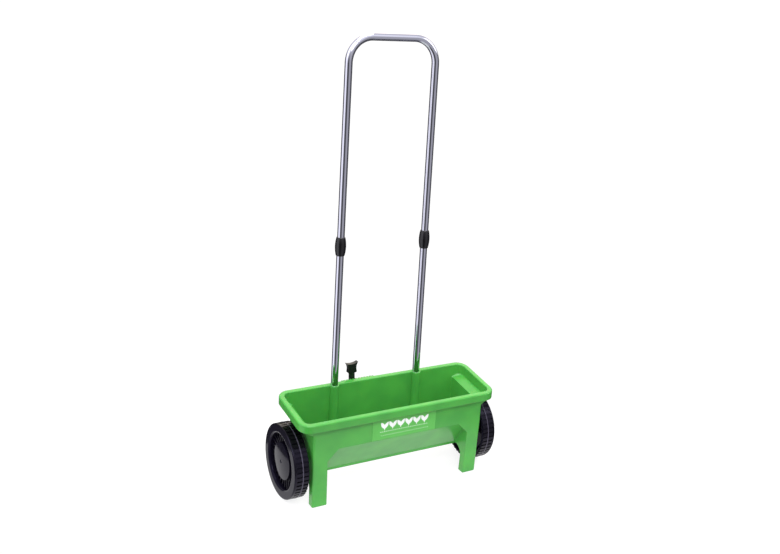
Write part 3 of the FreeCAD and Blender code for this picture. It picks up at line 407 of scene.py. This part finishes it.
# ---- floor, light and camera
def pale_floor():
    """Small white table top that glows a little, so that its far edge is lost in the white."""
    middle = (0.0, -0.02, -0.0005)
    floor = surface("floor", [disc(0.475, 12, 96, middle)], closed=True)
    material, tree = blank("white_table")
    place = add(tree, "ShaderNodeTexCoord").outputs["Object"]
    cloud = add(tree, "ShaderNodeTexNoise", values={"Scale": 2.0}, links={"Vector": place})
    rough = add(tree, "ShaderNodeMapRange", values={"To Min": 0.7, "To Max": 0.8},
                links={"Value": cloud.outputs["Fac"]})
    away = add(tree, "ShaderNodeVectorMath", {"operation": "LENGTH"}, links={0: place})
    glow = add(tree, "ShaderNodeMapRange", {"interpolation_type": "SMOOTHSTEP"},
               {"From Min": 0.26, "From Max": 0.47, "To Min": 0.83, "To Max": 0.86},
               {"Value": away.outputs["Value"]})
    surfaced(tree, {"Base Color": linear("#8c8c8c"), "Specular IOR Level": 0.1,
                    "Emission Color": (1, 1, 1, 1)},
             {"Roughness": rough.outputs["Result"], "Emission Strength": glow.outputs["Result"]})
    floor.data.materials.append(material)


def softbox(name, place, size, power, aim):
    """Square area light that faces a point of the object."""
    data = bpy.data.lights.new(name, "AREA")
    data.size = size
    data.energy = power
    light = bpy.data.objects.new(name, data)
    light.location = place
    light.rotation_euler = (Vector(aim) - Vector(place)).to_track_quat("-Z", "Y").to_euler()
    bpy.context.collection.objects.link(light)


def upright_strip(tree, level, toward, start, stop, strength):
    """Bright upright strip of the room around one direction, with soft edges."""
    across = add(tree, "ShaderNodeVectorMath", {"operation": "DOT_PRODUCT"},
                 {1: (*toward, 0.0)}, {0: level})
    return add(tree, "ShaderNodeMapRange", {"interpolation_type": "SMOOTHSTEP"},
               {"From Min": start, "From Max": stop, "To Min": 0.0, "To Max": strength},
               {"Value": across.outputs["Value"]}).outputs["Result"]


def studio_world():
    """White room to the eye; the object sees a dark floor, a grey ceiling and bright strips."""
    world = bpy.data.worlds.new("studio")
    bpy.context.scene.world = world
    world.use_nodes = True
    tree = world.node_tree
    tree.nodes.clear()
    way = add(tree, "ShaderNodeTexCoord").outputs["Generated"]
    parts = add(tree, "ShaderNodeSeparateXYZ", links={"Vector": way})
    flat = add(tree, "ShaderNodeVectorMath", {"operation": "MULTIPLY"}, {1: (1.0, 1.0, 0.0)},
               {0: way})
    level = add(tree, "ShaderNodeVectorMath", {"operation": "NORMALIZE"},
                links={0: flat.outputs["Vector"]}).outputs["Vector"]
    # Direction from the object, where the glow starts and where it is full, and its strength.
    left_window = ((-1.0, 0.006), 0.82, 0.93, 1.35)
    front_window = ((0.336, -0.942), 0.83, 0.94, 0.45)
    back_wall = ((0.505, 0.863), 0.80, 0.96, 1.3)
    total = add(tree, "ShaderNodeMapRange", {"interpolation_type": "SMOOTHSTEP"},
                {"From Min": -0.10, "From Max": 0.50, "To Min": 0.11, "To Max": 0.88},
                {"Value": parts.outputs["Z"]}).outputs["Result"]
    for strip in (left_window, front_window):
        more = upright_strip(tree, level, *strip)
        total = add(tree, "ShaderNodeMath", {"operation": "ADD"},
                    links={0: total, 1: more}).outputs[0]
    room = add(tree, "ShaderNodeBackground", values={"Color": linear("#f3f3fa")},
               links={"Strength": total})
    high = add(tree, "ShaderNodeMapRange", {"interpolation_type": "SMOOTHSTEP"},
               {"From Min": -0.05, "From Max": 0.25}, {"Value": parts.outputs["Z"]})
    behind = upright_strip(tree, level, *back_wall)
    lit = add(tree, "ShaderNodeMath", {"operation": "MULTIPLY"},
              links={0: high.outputs["Result"], 1: behind})
    wall = add(tree, "ShaderNodeBackground", values={"Color": linear("#fff0d2")},
               links={"Strength": lit.outputs[0]})
    room = add(tree, "ShaderNodeAddShader", links={0: room.outputs["Background"],
                                                   1: wall.outputs["Background"]})
    white = add(tree, "ShaderNodeBackground", values={"Color": (1, 1, 1, 1), "Strength": 1.05})
    seen = add(tree, "ShaderNodeLightPath").outputs["Is Camera Ray"]
    mixed = add(tree, "ShaderNodeMixShader", links={0: seen, 1: room.outputs["Shader"],
                                                    2: white.outputs["Background"]})
    add(tree, "ShaderNodeOutputWorld", links={"Surface": mixed.outputs["Shader"]})


def front_left_camera():
    """Camera at the front left, a little above the object, turned slightly about its axis."""
    place = (-1.1397, -1.9239, 1.2703)
    azimuth, elevation, roll = (math.radians(a) for a in (-30.36, 17.70, 3.83))
    back = Vector((math.sin(azimuth) * math.cos(elevation),
                   -math.cos(azimuth) * math.cos(elevation), math.sin(elevation)))
    level = Vector((math.cos(azimuth), math.sin(azimuth), 0.0))
    upright = back.cross(level)
    right = math.cos(roll) * level + math.sin(roll) * upright
    up = math.cos(roll) * upright - math.sin(roll) * level
    data = bpy.data.cameras.new("camera")
    data.lens = 42.95
    data.sensor_width = 36.0
    camera = bpy.data.objects.new("camera", data)
    turn = Matrix((right, up, back)).transposed().to_4x4()
    camera.matrix_world = Matrix.Translation(place) @ turn
    bpy.context.collection.objects.link(camera)
    bpy.context.scene.camera = camera


pale_floor()
softbox("key_front_left", place=(-1.1, -2.4, 2.9), size=1.3, power=54.0, aim=(0.0, 0.0, 0.2))
softbox("fill_right", place=(2.4, -1.2, 2.0), size=1.2, power=15.0, aim=(0.0, 0.0, 0.4))
softbox("top", place=(0.0, -0.3, 3.0), size=1.6, power=34.0, aim=(0.0, 0.0, 0.0))
studio_world()
front_left_camera()
bpy.context.scene.view_settings.view_transform = "Standard"
